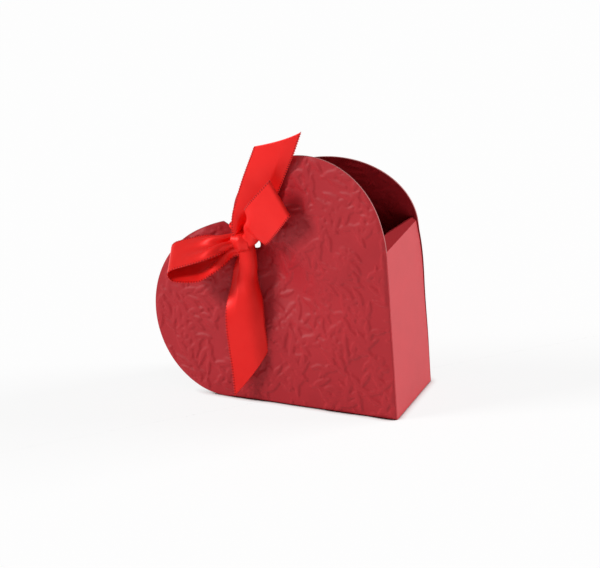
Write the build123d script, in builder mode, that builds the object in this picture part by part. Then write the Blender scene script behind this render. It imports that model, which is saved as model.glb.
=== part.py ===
from build123d import *
import math
import os

# A heart shaped favour box of folded card: two heart panels joined along the two straight sides of
# the heart, open along the two lobes, drawn together at the cleft by a satin ribbon tied in a bow.
# The box stands on its base side, with the tip of the heart at the right and the bow at the front.
# Origin: middle of the base panel's underside. +X towards the tip, +Y towards the back, +Z up.

# Heart blank, in millimetres and degrees
side_length = 46.0
lobe_radius = 22.8
tip_angle = 86.4
lobe_end_across = 2.0
cleft_depth = 3.76
box_depth = 26.8
card = 0.45
seat_gap = 0.05

# Bend of each heart panel's free lobes, whose start is measured along the heart's axis from the cleft
bend_radius = 22.4
front_bend_length = 28.6
front_bend_angle = 12.4
back_bend_length = 43.0
lobe_gap = 4.6

# Valley that the ribbon draws into each panel along the heart's axis
valley_half_width = 5.5
valley_spread = 14.0
front_valley_length = 38.0
back_valley_length = 50.0
front_tie_depth = 9.4
tie_gap = 0.5
hole_below_cleft = 6.2
hole_diameter = 4.0

# Top lip of the side panel, and the two glue flaps inside
lip_height = 3.4
lip_back_height = 0.6
lip_angle = 30.0
glue_flap_width = 7.0
glue_flap_start = 4.0
glue_flap_taper = 4.0
tip_flap_length = 9.0
tip_flap_setback = 0.8
tip_flap_taper = 3.0

# Ribbon
ribbon_width = 10.0
ribbon_thickness = 0.35
soft_gap = 0.3
limb_gap = 0.5
tie_width = 2.0
tie_thickness = 1.2
knot_below_cleft = 3.9
knot_width = 4.0
knot_height = 4.0
knot_depth = 4.5
knot_round = 1.1
lower_tail_length = 38.0
upper_tail_length = 34.0
upper_tail_swing_gap = 1.0
left_loop_length = 19.0
right_loop_length = 20.0

# Each limb's stations, root first: the middle of the ribbon as shares of the limb's length along
# X, Y and Z, the width and the pleat depth as shares of the ribbon width, and the way across it.
lower_tail_shares = (
    ((0.040, -0.030, 0.000), 0.38, -0.09, (1.00, -0.08, 0.00)),
    ((0.055, -0.060, -0.065), 0.52, -0.08, (1.00, -0.11, 0.11)),
    ((0.055, -0.115, -0.205), 0.87, -0.06, (1.00, -0.14, 0.20)),
    ((0.100, -0.180, -0.430), 1.00, -0.04, (1.00, -0.04, 0.16)),
    ((0.137, -0.213, -0.625), 1.00, -0.03, (1.00, -0.02, 0.10)),
    ((0.160, -0.225, -0.810), 1.55, -0.03, (0.57, 0.03, 0.82)),
)
upper_tail_shares = (
    ((0.003, -0.015, 0.000), 0.27, 0.09, (1.00, 0.00, 0.00)),
    ((0.045, -0.035, 0.155), 0.62, 0.07, (1.00, -0.11, 0.00)),
    ((0.135, -0.040, 0.340), 1.00, 0.05, (1.00, -0.04, -0.12)),
    ((0.215, -0.055, 0.575), 1.00, 0.04, (1.00, -0.02, -0.19)),
    ((0.277, -0.062, 0.720), 1.00, 0.03, (1.00, -0.02, -0.10)),
    ((0.316, -0.065, 0.830), 1.35, 0.03, (0.93, -0.03, 0.37)),
)
left_loop_shares = (
    ((0.000, -0.076, 0.013), 0.33, 0.02, (0.00, -0.70, -0.70)),
    ((-0.137, -0.213, 0.008), 0.80, 0.04, (0.18, -0.88, -0.44)),
    ((-0.395, -0.284, -0.074), 1.00, 0.05, (0.24, -0.92, -0.32)),
    ((-0.680, -0.310, -0.185), 1.00, 0.02, (0.24, -0.92, -0.32)),
    ((-0.785, -0.315, -0.240), 1.00, 0.02, (0.24, -0.92, -0.32)),
    ((-0.820, -0.320, -0.305), 1.00, 0.02, (0.24, -0.92, -0.32)),
    ((-0.785, -0.322, -0.370), 1.00, 0.02, (0.24, -0.92, -0.32)),
    ((-0.690, -0.320, -0.405), 1.00, 0.02, (0.24, -0.92, -0.32)),
    ((-0.395, -0.295, -0.370), 0.97, 0.02, (0.24, -0.92, -0.32)),
    ((-0.174, -0.230, -0.220), 0.75, 0.02, (0.20, -0.90, -0.38)),
    ((0.000, -0.079, -0.063), 0.33, 0.02, (0.00, -0.70, -0.70)),
)
right_loop_shares = (
    ((0.000, -0.135, 0.030), 0.33, 0.02, (0.00, -0.06, -1.00)),
    ((0.220, -0.245, 0.340), 0.84, 0.03, (0.44, -0.12, -0.89)),
    ((0.420, -0.258, 0.660), 1.03, 0.02, (0.58, -0.06, -0.81)),
    ((0.455, -0.248, 0.705), 1.05, 0.02, (0.58, -0.06, -0.81)),
    ((0.468, -0.220, 0.722), 1.05, 0.02, (0.58, -0.06, -0.81)),
    ((0.455, -0.192, 0.705), 1.05, 0.02, (0.58, -0.06, -0.81)),
    ((0.420, -0.182, 0.660), 1.03, 0.02, (0.58, -0.06, -0.81)),
    ((0.225, -0.165, 0.340), 0.82, 0.02, (0.44, -0.12, -0.89)),
    ((0.000, -0.075, 0.022), 0.31, 0.02, (0.00, -0.06, -1.00)),
)

# Points on each lobe's round, and the grid of points that shapes a bent panel
lobe_points = 11
surface_rows = 27
surface_span_share = 1.10
surface_start_share = 0.05

# Worked out from the sizes above
half_angle = math.radians(tip_angle / 2)
tip_x = side_length / 2
front_y = -box_depth / 2
back_y = box_depth / 2
lobe_centre_along = side_length * math.cos(half_angle) + lobe_radius * math.sin(half_angle)
lobe_centre_across = side_length * math.sin(half_angle) - lobe_radius * math.cos(half_angle)
lobe_end_angle = math.degrees(math.asin((lobe_end_across - lobe_centre_across) / lobe_radius))
lobe_end_along = lobe_centre_along + lobe_radius * math.cos(math.radians(lobe_end_angle))
cleft_from_tip = lobe_end_along - cleft_depth
hole_from_tip = cleft_from_tip - hole_below_cleft
knot_from_tip = cleft_from_tip - knot_below_cleft
heart_length = lobe_centre_along + lobe_radius
heart_half_width = lobe_centre_across + lobe_radius
axis_direction = Vector(-math.cos(half_angle), 0, math.sin(half_angle))
across_direction = Vector(math.sin(half_angle), 0, math.cos(half_angle))

# The back heart bends as far as leaves the lobe gap between the two hearts, level with the cleft
front_turn = math.radians(front_bend_angle)
front_lean = bend_radius * (1 - 1 / math.cos(front_turn))
front_lean += front_bend_length * math.tan(front_turn)
back_lean = box_depth - lobe_gap - front_lean
back_sweep = math.acos(bend_radius / math.hypot(bend_radius - back_lean, back_bend_length))
back_turn = math.atan2(back_bend_length, bend_radius - back_lean) - back_sweep
back_tie_depth = box_depth - front_tie_depth - 2 * card - tie_gap

# Each panel's bend: where it starts, its turn, where the valley starts, and the valley's depth
front_bend = (
    cleft_from_tip - front_bend_length,
    front_turn,
    hole_from_tip - front_valley_length,
    front_tie_depth,
)
back_bend = (
    cleft_from_tip - back_bend_length,
    back_turn,
    hole_from_tip - back_valley_length,
    back_tie_depth,
)


def heart_place(along, across, y):
    """A point of the box from its distance along the heart's axis, across it, and its depth."""
    return Vector(tip_x, y, 0) + axis_direction * along + across_direction * across


def bent_along(flat_along, bend):
    """Distance along the axis, seen from the front, of a point of the flat blank."""
    start, angle = bend[0], bend[1]
    if flat_along <= start:
        return flat_along
    turn = min((flat_along - start) / bend_radius, angle)
    straight = flat_along - start - bend_radius * turn
    return start + bend_radius * math.sin(turn) + straight * math.cos(angle)


def drawn_in(along, across, bend):
    """How far a panel stands in from its flat face: the lobes' bend, and the tied valley."""
    start, angle, valley_start, tie_depth = bend
    bend_reach = bend_radius * math.sin(angle)
    past_start = min(max(along - start, 0), bend_reach)
    lobes = bend_radius - math.sqrt(bend_radius**2 - past_start**2)
    lobes += max(along - start - bend_reach, 0) * math.tan(angle)
    ramp = min(max((along - valley_start) / (hole_from_tip - valley_start), 0), 1)
    valley = tie_depth * ramp**2 * (3 - 2 * ramp)
    pull = math.exp(-((across / (valley_half_width + valley_spread * (1 - ramp))) ** 2))
    return lobes * (1 - pull) + valley * pull


def bent_surface(face_y, inward, bend):
    """The curved face of a heart panel, as large as the whole heart and a margin."""
    rows = []
    for row in range(surface_rows):
        along = heart_length * (surface_span_share * row / (surface_rows - 1) - surface_start_share)
        line = []
        for column in range(surface_rows):
            across = heart_half_width * surface_span_share * (2 * column / (surface_rows - 1) - 1)
            y = face_y + inward * drawn_in(along, across, bend)
            line.append(heart_place(along, across, y))
        rows.append(line)
    return Face.make_surface_from_array_of_points(rows, tol=seat_gap / 10)


def front_view(along, across):
    """The same place as a point of the front view sketch plane."""
    place = heart_place(along, across, 0)
    return (place.X, place.Z)


def heart_panel(face_y, inward, bend):
    """One heart panel: a bent sheet of card cut to the heart, with the ribbon's hole punched."""
    lobe_start = 90 + tip_angle / 2
    lobe = []
    for step in range(lobe_points):
        turn = math.radians(lobe_start + (lobe_end_angle - lobe_start) * step / (lobe_points - 1))
        along = bent_along(lobe_centre_along + lobe_radius * math.cos(turn), bend)
        lobe.append((along, lobe_centre_across + lobe_radius * math.sin(turn)))
    cleft_half_width = tie_width / 2 + soft_gap
    with BuildPart() as panel:
        extrude(bent_surface(face_y, inward, bend), amount=card, dir=(0, inward, 0))
        with BuildSketch(Plane.XZ):
            with BuildLine():
                right_lobe = [front_view(along, across) for along, across in lobe]
                left_lobe = [front_view(along, -across) for along, across in lobe]
                Line(front_view(0, 0), right_lobe[0])
                Spline(*right_lobe)
                right_cleft = front_view(cleft_from_tip, cleft_half_width)
                left_cleft = front_view(cleft_from_tip, -cleft_half_width)
                Polyline(right_lobe[-1], right_cleft, left_cleft, left_lobe[-1])
                Spline(*left_lobe[::-1])
                Line(left_lobe[0], front_view(0, 0))
            make_face()
        extrude(amount=box_depth, both=True, mode=Mode.INTERSECT)
        with BuildSketch(Plane.XZ):
            with Locations(front_view(hole_from_tip, 0)):
                Circle(hole_diameter / 2)
        extrude(amount=box_depth, both=True, mode=Mode.SUBTRACT)
    return panel


os.makedirs("parts", exist_ok=True)

front_heart_panel = heart_panel(front_y, 1, front_bend)
front_heart_panel.part.label = "front_heart_panel"
export_step(front_heart_panel.part, "parts/front_heart_panel.step")

back_heart_panel = heart_panel(back_y, -1, back_bend)
back_heart_panel.part.label = "back_heart_panel"
export_step(back_heart_panel.part, "parts/back_heart_panel.step")

# Base and side panels: strips of the blank between the two hearts, whose inner faces they follow
side_direction = Vector(-math.cos(2 * half_angle), 0, math.sin(2 * half_angle))
side_inward = Vector(-math.sin(2 * half_angle), 0, -math.cos(2 * half_angle))
tip_place = Vector(tip_x, 0, 0)
base_end_x = tip_x - card / math.sin(2 * half_angle) - card / math.tan(2 * half_angle) - seat_gap
inner_front_y = front_y + card + seat_gap
inner_back_y = back_y - card - seat_gap
front_inner_surface = bent_surface(inner_front_y, 1, front_bend)
back_inner_surface = bent_surface(inner_back_y, -1, back_bend)

with BuildPart() as base_panel:
    with BuildSketch(Plane.XY):
        with Locations((-side_length / 2, front_y)):
            Rectangle(base_end_x + side_length / 2, box_depth, align=(Align.MIN, Align.MIN))
    extrude(amount=card)
    extrude(front_inner_surface, amount=box_depth, dir=(0, 1, 0), mode=Mode.INTERSECT)
    extrude(back_inner_surface, amount=box_depth, dir=(0, -1, 0), mode=Mode.INTERSECT)
base_panel.part.label = "base_panel"
export_step(base_panel.part, "parts/base_panel.step")

# The side panel ends in a lip that turns in over the mouth, deepest at the front heart
lip_turn = math.radians(lip_angle)
lip_direction = side_direction * math.cos(lip_turn) + side_inward * math.sin(lip_turn)
lip_inward = side_inward * math.cos(lip_turn) - side_direction * math.sin(lip_turn)
side_top = tip_place + side_direction * side_length
lip_top = side_top + lip_direction * lip_height
side_top_inner = side_top + side_inward * card - side_direction * card * math.tan(lip_turn / 2)
side_outline = (tip_place, side_top, lip_top, lip_top + lip_inward * card, side_top_inner)
side_plane = Plane(origin=tip_place, x_dir=(0, 1, 0), z_dir=-side_inward)
with BuildPart() as side_panel:
    with BuildSketch(Plane.XZ.offset(-front_y)):
        with BuildLine():
            corners = [(point.X, point.Z) for point in side_outline]
            corners.append((tip_x - card / math.sin(2 * half_angle), 0))
            Polyline(*corners, close=True)
        make_face()
    extrude(amount=-box_depth)
    extrude(front_inner_surface, amount=box_depth, dir=(0, 1, 0), mode=Mode.INTERSECT)
    extrude(back_inner_surface, amount=box_depth, dir=(0, -1, 0), mode=Mode.INTERSECT)
    with BuildSketch(side_plane):
        with BuildLine():
            Polyline(
                (inner_front_y, side_length + lip_height),
                (back_y, side_length + lip_back_height),
                (back_y, side_length + 2 * lip_height),
                (inner_front_y, side_length + 2 * lip_height),
                close=True,
            )
        make_face()
    extrude(amount=2 * lip_height, both=True, mode=Mode.SUBTRACT)
side_panel.part.label = "side_panel"
export_step(side_panel.part, "parts/side_panel.step")

# Glue flap of the side panel, inside the back heart
flap_near = card + seat_gap
flap_far = flap_near + glue_flap_width
flap_corners = (
    (glue_flap_start, flap_near),
    (side_length, flap_near),
    (side_length - glue_flap_taper, flap_far),
    (glue_flap_start + glue_flap_taper, flap_far),
)
with BuildPart() as side_glue_flap:
    extrude(back_inner_surface, amount=card, dir=(0, -1, 0))
    with BuildSketch(Plane.XZ):
        with BuildLine():
            corners = [tip_place + side_direction * up + side_inward * into for up, into in flap_corners]
            Polyline(*[(point.X, point.Z) for point in corners], close=True)
        make_face()
    extrude(amount=box_depth, both=True, mode=Mode.INTERSECT)
side_glue_flap.part.label = "side_glue_flap"
export_step(side_glue_flap.part, "parts/side_glue_flap.step")

# Glue flap of the side panel's foot, on the base panel inside the tip
flap_front_y = inner_front_y + tip_flap_setback
flap_back_y = inner_back_y - tip_flap_setback
with BuildPart() as tip_glue_flap:
    with BuildSketch(Plane.XY.offset(card + seat_gap)):
        with BuildLine():
            Polyline(
                (base_end_x - card, flap_front_y),
                (base_end_x - card, flap_back_y),
                (base_end_x - tip_flap_length, flap_back_y - tip_flap_taper),
                (base_end_x - tip_flap_length, flap_front_y + tip_flap_taper),
                close=True,
            )
        make_face()
    extrude(amount=card)
tip_glue_flap.part.label = "tip_glue_flap"
export_step(tip_glue_flap.part, "parts/tip_glue_flap.step")

# Ribbon where it ties the two hearts: through the holes, and over the cleft
tie_low = hole_from_tip + hole_diameter / 2 - soft_gap
tie_high = cleft_from_tip + soft_gap
tie_front = front_y + front_tie_depth - soft_gap
tie_back = back_y - back_tie_depth + soft_gap
tie_middle = heart_place((tie_low + tie_high) / 2, 0, (tie_front + tie_back) / 2)
tie_plane = Plane(origin=tie_middle, x_dir=axis_direction, z_dir=across_direction)
with BuildPart() as ribbon_tie:
    with BuildSketch(tie_plane):
        tie_length = tie_high - tie_low
        tie_span = tie_back - tie_front
        RectangleRounded(tie_length + 2 * tie_thickness, tie_span + 2 * tie_thickness, tie_thickness)
        Rectangle(tie_length, tie_span, mode=Mode.SUBTRACT)
    extrude(amount=tie_width / 2, both=True)
ribbon_tie.part.label = "ribbon_tie"
export_step(ribbon_tie.part, "parts/ribbon_tie.step")

# Knot of the bow, on the front of the tie
knot_back_y = tie_front - tie_thickness
knot_place = heart_place(knot_from_tip, 0, knot_back_y)
with BuildPart() as bow_knot:
    with BuildSketch(Plane.XZ.offset(-knot_back_y)):
        with Locations((knot_place.X, knot_place.Z)):
            RectangleRounded(knot_width, knot_height, knot_round)
    extrude(amount=knot_depth)
    fillet(bow_knot.edges().group_by(Axis.Y)[0], radius=knot_round)
bow_knot.part.label = "bow_knot"
export_step(bow_knot.part, "parts/bow_knot.step")


def ribbon_limb(root, length, stations):
    """A length of ribbon lofted through pleated sections, from its root at the knot to its end."""
    middles = [root + Vector(*share) * length for share, width, pleat, across in stations]
    half_thickness = ribbon_thickness / 2
    with BuildPart() as limb:
        for index, (share, width_share, pleat_share, across) in enumerate(stations):
            before = middles[max(index - 1, 0)]
            after = middles[min(index + 1, len(middles) - 1)]
            x_dir = Vector(*across).normalized()
            run = after - before
            z_dir = run - x_dir * run.dot(x_dir)
            half_width = ribbon_width * width_share / 2
            pleat = ribbon_width * pleat_share
            with BuildSketch(Plane(origin=middles[index], x_dir=x_dir, z_dir=z_dir)):
                with BuildLine():
                    Polyline(
                        (-half_width, -half_thickness),
                        (0, pleat - half_thickness),
                        (half_width, -half_thickness),
                        (half_width, half_thickness),
                        (0, pleat + half_thickness),
                        (-half_width, half_thickness),
                        close=True,
                    )
                make_face()
        loft(ruled=True)
    return limb


# Free limbs of the ribbon, each rooted just clear of the knot
limb_place = knot_place - Vector(0, knot_depth / 3, 0)
below_knot = limb_place - Vector(0, 0, knot_height / 2 + limb_gap)
above_knot = limb_place + Vector(0, 0, knot_height / 2 + upper_tail_swing_gap)
left_of_knot = limb_place - Vector(knot_width / 2 + limb_gap, 0, 0)
right_of_knot = limb_place + Vector(knot_width / 2 + limb_gap, 0, 0)

lower_tail = ribbon_limb(below_knot, lower_tail_length, lower_tail_shares)
lower_tail.part.label = "lower_tail"
export_step(lower_tail.part, "parts/lower_tail.step")

upper_tail = ribbon_limb(above_knot, upper_tail_length, upper_tail_shares)
upper_tail.part.label = "upper_tail"
export_step(upper_tail.part, "parts/upper_tail.step")

left_loop = ribbon_limb(left_of_knot, left_loop_length, left_loop_shares)
left_loop.part.label = "left_loop"
export_step(left_loop.part, "parts/left_loop.step")

right_loop = ribbon_limb(right_of_knot, right_loop_length, right_loop_shares)
right_loop.part.label = "right_loop"
export_step(right_loop.part, "parts/right_loop.step")
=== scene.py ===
import math
import random

import bmesh
import bpy
import numpy as np
from mathutils import Matrix, Vector
from mathutils.geometry import delaunay_2d_cdt


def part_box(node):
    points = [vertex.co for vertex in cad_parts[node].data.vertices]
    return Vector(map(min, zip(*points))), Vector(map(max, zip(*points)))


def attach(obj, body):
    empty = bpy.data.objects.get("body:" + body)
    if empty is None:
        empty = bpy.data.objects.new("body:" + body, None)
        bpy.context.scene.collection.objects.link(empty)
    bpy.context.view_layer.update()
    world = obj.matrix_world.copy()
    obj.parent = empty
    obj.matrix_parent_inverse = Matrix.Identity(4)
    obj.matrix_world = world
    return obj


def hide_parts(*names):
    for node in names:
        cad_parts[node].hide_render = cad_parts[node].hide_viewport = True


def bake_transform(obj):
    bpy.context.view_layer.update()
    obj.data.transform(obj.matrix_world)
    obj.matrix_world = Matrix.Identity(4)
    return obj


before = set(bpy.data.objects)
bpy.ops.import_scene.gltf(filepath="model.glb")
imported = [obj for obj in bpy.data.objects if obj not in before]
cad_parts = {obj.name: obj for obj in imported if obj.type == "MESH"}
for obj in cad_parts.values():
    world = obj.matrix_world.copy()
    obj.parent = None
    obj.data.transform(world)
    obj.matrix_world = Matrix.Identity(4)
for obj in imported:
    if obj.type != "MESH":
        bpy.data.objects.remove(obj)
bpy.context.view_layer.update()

# Front heart panel
# The heart that faces the viewer, of pearl red card, die cut and embossed with a scroll of leaves.
# Its two straight sides are creases of the blank, its lobes bend back, and the ribbon draws it in.
side_length = 46.0e-3
lobe_radius = 22.8e-3
half_angle = math.radians(86.4 / 2)
lobe_end_across = 2.0e-3
cleft_depth = 3.76e-3
cleft_half_width = 1.3e-3
box_depth = 26.8e-3
card = 0.45e-3
bend_radius = 22.4e-3
front_bend_length = 28.6e-3
front_turn = math.radians(12.4)
back_bend_length = 43.0e-3
lobe_gap = 4.6e-3
valley_half_width = 5.5e-3
valley_spread = 14.0e-3
front_valley_length = 38.0e-3
back_valley_length = 50.0e-3
front_tie_depth = 9.4e-3
tie_gap = 0.5e-3
hole_below_cleft = 6.2e-3
hole_radius = 2.0e-3

tip_x = side_length / 2
lobe_along = side_length * math.cos(half_angle) + lobe_radius * math.sin(half_angle)
lobe_across = side_length * math.sin(half_angle) - lobe_radius * math.cos(half_angle)
lobe_end_turn = math.asin((lobe_end_across - lobe_across) / lobe_radius)
cleft_from_tip = lobe_along + lobe_radius * math.cos(lobe_end_turn) - cleft_depth
hole_from_tip = cleft_from_tip - hole_below_cleft
axis_direction = np.array((-math.cos(half_angle), 0, math.sin(half_angle)))
across_direction = np.array((math.sin(half_angle), 0, math.cos(half_angle)))

# The back heart bends as far as leaves the lobe gap between the two hearts, level with the cleft
front_lean = bend_radius * (1 - 1 / math.cos(front_turn)) + front_bend_length * math.tan(front_turn)
back_rest = bend_radius - (box_depth - lobe_gap - front_lean)
back_turn = math.atan2(back_bend_length, back_rest)
back_turn -= math.acos(bend_radius / math.hypot(back_rest, back_bend_length))
back_tie_depth = box_depth - front_tie_depth - 2 * card - tie_gap

# Each heart's bend: where the lobes start to bend, how far they turn, where the valley starts, its depth
front_bend = (
    cleft_from_tip - front_bend_length,
    front_turn,
    hole_from_tip - front_valley_length,
    front_tie_depth,
)
back_bend = (
    cleft_from_tip - back_bend_length,
    back_turn,
    hole_from_tip - back_valley_length,
    back_tie_depth,
)


def heart_place(along, across, y):
    """Places in the frame from distances along the heart's axis, across it, and the depth."""
    along, across, y = np.broadcast_arrays(along, across, y)
    place = along[..., None] * axis_direction + across[..., None] * across_direction
    return place + np.stack((np.full(y.shape, tip_x), y, np.zeros(y.shape)), axis=-1)


def bent_along(flat_along, bend):
    """Distance along the axis, seen from the front, of a point of the flat blank."""
    start, angle = bend[0], bend[1]
    past = np.maximum(flat_along - start, 0)
    turn = np.minimum(past / bend_radius, angle)
    straight = past - bend_radius * turn
    return np.minimum(flat_along, start) + bend_radius * np.sin(turn) + straight * math.cos(angle)


def drawn_in(along, across, bend):
    """How far a panel stands in from its flat face: the lobes' bend, and the tied valley."""
    start, angle, valley_start, tie_depth = bend
    reach = bend_radius * math.sin(angle)
    past = np.clip(along - start, 0, reach)
    lobes = bend_radius - np.sqrt(bend_radius**2 - past**2)
    lobes = lobes + np.maximum(along - start - reach, 0) * math.tan(angle)
    ramp = np.clip((along - valley_start) / (hole_from_tip - valley_start), 0, 1)
    valley = tie_depth * ramp**2 * (3 - 2 * ramp)
    pull = np.exp(-((across / (valley_half_width + valley_spread * (1 - ramp))) ** 2))
    return lobes * (1 - pull) + valley * pull


# Emboss: scrolls of stem with blades of leaf on both sides, and five-petal blossoms between them
scroll_spacing = 7.4e-3
scroll_length = 11.0e-3
scroll_stray = 0.22
scroll_set_back = 0.40 * scroll_spacing
stem_half_width = 0.50e-3
stem_height = 0.22e-3
stem_taper = 0.55
stem_lead = 0.7
stem_turn_start = math.radians(20)
stem_turn_end = math.radians(330)
leaf_length = 5.4e-3
leaf_half_width = 0.90e-3
leaf_height = 0.36e-3
leaf_count = 6
leaf_spread = math.radians(46)
leaf_curl = math.radians(80)
leafy_share = 0.8
groove_width = 0.20
groove_depth = 0.40
blossom_radius = 3.5e-3
blossom_height = 0.34e-3
blossom_every = 4
petal_count = 5
cup_place = 0.27
cup_width = 0.11
cup_depth = 0.65
crease_start = 0.93
crease_length = 0.8
crease_depth = 0.35
emboss_margin = 1.0e-3
emboss_seed = 11
heart_length = lobe_along + lobe_radius
heart_half_width = lobe_across + lobe_radius


def stroke_distance(along, across, line):
    """Signed distance of each point to a line of points, and its share along the line."""
    offset_along = along[:, None] - line[None, :, 0]
    offset_across = across[:, None] - line[None, :, 1]
    nearest = np.argmin(offset_along**2 + offset_across**2, axis=1)
    heading = np.gradient(line, axis=0)
    heading /= np.linalg.norm(heading, axis=1)[:, None]
    picked = np.arange(len(along))
    ahead = heading[nearest]
    side = ahead[:, 0] * offset_across[picked, nearest] - ahead[:, 1] * offset_along[picked, nearest]
    past = ahead[:, 0] * offset_along[picked, nearest] + ahead[:, 1] * offset_across[picked, nearest]
    share = np.clip(nearest / (len(line) - 1), 0, 1)
    ends = (nearest == 0) | (nearest == len(line) - 1)
    side = np.where(ends, np.hypot(side, past), side)
    return side, share


def winding_line(start, heading, length, turn_start, turn_end, points=42):
    """A line that leaves start at a heading and turns at a rate that changes evenly."""
    step = np.linspace(0, 1, points)
    angle = heading + turn_start * step + (turn_end - turn_start) * step**2 / 2
    run = length / (points - 1)
    moves = np.stack((np.cos(angle), np.sin(angle)), axis=1) * run
    return np.array(start) + np.vstack((np.zeros(2), np.cumsum(moves[:-1], axis=0)))


def press_stroke(relief, along, across, line, half_width, height, leaf):
    """Raises the card over a stem, or over a blade of leaf with a groove down its middle."""
    near = (along > line[:, 0].min() - half_width) & (along < line[:, 0].max() + half_width)
    near &= (across > line[:, 1].min() - half_width) & (across < line[:, 1].max() + half_width)
    index = np.nonzero(near)[0]
    if not len(index):
        return
    side, share = stroke_distance(along[index], across[index], line)
    if leaf:
        width = half_width * np.sin(math.pi * np.clip(share, 0.02, 0.98) ** 0.75) ** 0.85
        dome = np.clip(1 - (side / width) ** 2, 0, 1)
        groove = np.exp(-((side / (groove_width * half_width)) ** 2)) * np.sin(math.pi * share)
        pressed = height * (dome**0.85 - groove_depth * groove * dome)
    else:
        width = half_width * (1 - stem_taper * share)
        pressed = height * np.clip(1 - (side / width) ** 2, 0, 1) ** 0.9
    relief[index] = np.maximum(relief[index], pressed)


def press_blossom(relief, along, across, centre, radius, spin):
    """Raises five petals about a boss, each with a crease down its middle."""
    reach = np.hypot(along - centre[0], across - centre[1])
    turn = np.arctan2(across - centre[1], along - centre[0]) + spin
    wave = np.abs(np.cos(petal_count / 2 * turn))
    edge = radius * (0.50 + 0.50 * wave**0.6)
    dome = np.clip(1 - (reach / edge) ** 2, 0, 1)
    cup = np.exp(-(((reach - cup_place * radius) / (cup_width * radius)) ** 2))
    crease = np.clip((wave - crease_start) / (1 - crease_start), 0, 1)
    crease = crease * np.clip(1 - reach / (crease_length * radius), 0, 1)
    pressed = blossom_height * dome**0.6 * (1 - cup_depth * cup) * (1 - crease_depth * crease)
    np.maximum(relief, pressed, out=relief)


def leaf_scroll(along, across):
    """Height of the emboss at each point of a heart panel."""
    draw = random.Random(emboss_seed)
    relief = np.zeros(len(along))
    row_step = scroll_spacing * math.sqrt(3) / 2
    columns = math.ceil(heart_half_width / scroll_spacing)
    for row in range(math.ceil(heart_length / row_step) + 1):
        for column in range(-columns - 1, columns + 1):
            middle = (
                (row + draw.uniform(-scroll_stray, scroll_stray)) * row_step,
                (column + 0.5 * (row % 2) + draw.uniform(-scroll_stray, scroll_stray)) * scroll_spacing,
            )
            spin = draw.uniform(0, math.tau)
            hand = draw.choice((-1, 1))
            if (row + 2 * column) % blossom_every == 0:
                radius = blossom_radius * draw.uniform(0.85, 1.15)
                press_blossom(relief, along, across, middle, radius, spin)
            start_along = middle[0] - scroll_set_back * math.cos(spin)
            start = (start_along, middle[1] - scroll_set_back * math.sin(spin))
            lead = spin - hand * stem_lead
            stem = winding_line(start, lead, scroll_length, hand * stem_turn_start, hand * stem_turn_end)
            press_stroke(relief, along, across, stem, stem_half_width, stem_height, False)
            heading = np.gradient(stem, axis=0)
            for leaf in range(leaf_count):
                place = int((leaf + 0.4) / leaf_count * leafy_share * (len(stem) - 1))
                side = 1 if leaf % 2 else -1
                ahead = math.atan2(heading[place, 1], heading[place, 0])
                out = ahead + side * leaf_spread * draw.uniform(0.7, 1.3)
                long = leaf_length * draw.uniform(0.65, 1.15)
                curl = -side * leaf_curl * draw.uniform(0.2, 1.2)
                blade = winding_line(stem[place], out, long, curl, -0.4 * curl)
                half_width = leaf_half_width * draw.uniform(0.8, 1.2)
                press_stroke(relief, along, across, blade, half_width, leaf_height, True)
    return relief


# Panel mesh: a fine even net of points inside the die-cut outline, on both faces of the card
net_step = 0.36e-3
net_clearance = 0.55 * net_step
rim_step = 0.36e-3
rim_parts = 24
hole_points = 36
fold_radius = 0.40e-3
fold_turns = np.radians((0, 15, 30, 45, 60, 75))
fold_fade = 3.0e-3
tip_clearance = 0.3 * rim_step
millimetres = 1000
join_closeness = 1e-6


def spaced(start, end):
    """Points from start up to end, but not end itself, about one rim step apart."""
    start, end = np.array(start), np.array(end)
    count = max(1, round(np.linalg.norm(end - start) / rim_step))
    return start + (end - start) * (np.arange(count) / count)[:, None]


def heart_outline(bend):
    """The die-cut outline as (along, across) points, and which of its spans are raw cut edge."""
    lobe_start = math.pi / 2 + half_angle
    count = round(lobe_radius * (lobe_start - lobe_end_turn) / rim_step)
    turn = np.linspace(lobe_start, lobe_end_turn, count + 1)
    flat_along = lobe_along + lobe_radius * np.cos(turn)
    lobe = np.stack((bent_along(flat_along, bend), lobe_across + lobe_radius * np.sin(turn)), axis=1)
    cleft = (cleft_from_tip, cleft_half_width)
    mirror = np.array((1, -1))
    crease = spaced((0, 0), lobe[0])
    right = np.vstack((crease, lobe[:-1], spaced(lobe[-1], cleft)))
    bottom = spaced(cleft, cleft * mirror)
    left = np.vstack((right[1:], [cleft]))[::-1] * mirror
    outline = np.vstack((right, bottom, left))
    raw = np.ones(len(outline), bool)
    raw[:len(crease)] = False
    raw[len(outline) - len(crease):] = False
    return outline, raw


def from_fold(along, across):
    """Distance of each point in from the nearer straight side, and its reach along that side."""
    inside = along * math.sin(half_angle) - np.abs(across) * math.cos(half_angle)
    return inside, along * math.cos(half_angle) + np.abs(across) * math.sin(half_angle)


def from_rim(points, rim):
    """Distance of each point to the nearest point of the rim."""
    nearest = np.full(len(points), np.inf)
    for part in np.array_split(rim, rim_parts):
        gap = np.hypot(points[:, None, 0] - part[None, :, 0], points[:, None, 1] - part[None, :, 1])
        nearest = np.minimum(nearest, gap.min(axis=1))
    return nearest


def fold_rows():
    """Rows of points beside the two straight sides, close enough to draw the round of the fold."""
    reach = np.arange(rim_step, side_length, rim_step)
    rows = []
    for inside in fold_radius * (1 - np.sin(fold_turns)):
        along = reach * math.cos(half_angle) + inside * math.sin(half_angle)
        across = reach * math.sin(half_angle) - inside * math.cos(half_angle)
        clear = across > tip_clearance
        for hand in (-1, 1):
            rows.append(np.stack((along[clear], hand * across[clear]), axis=1))
    return np.vstack(rows)


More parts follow.
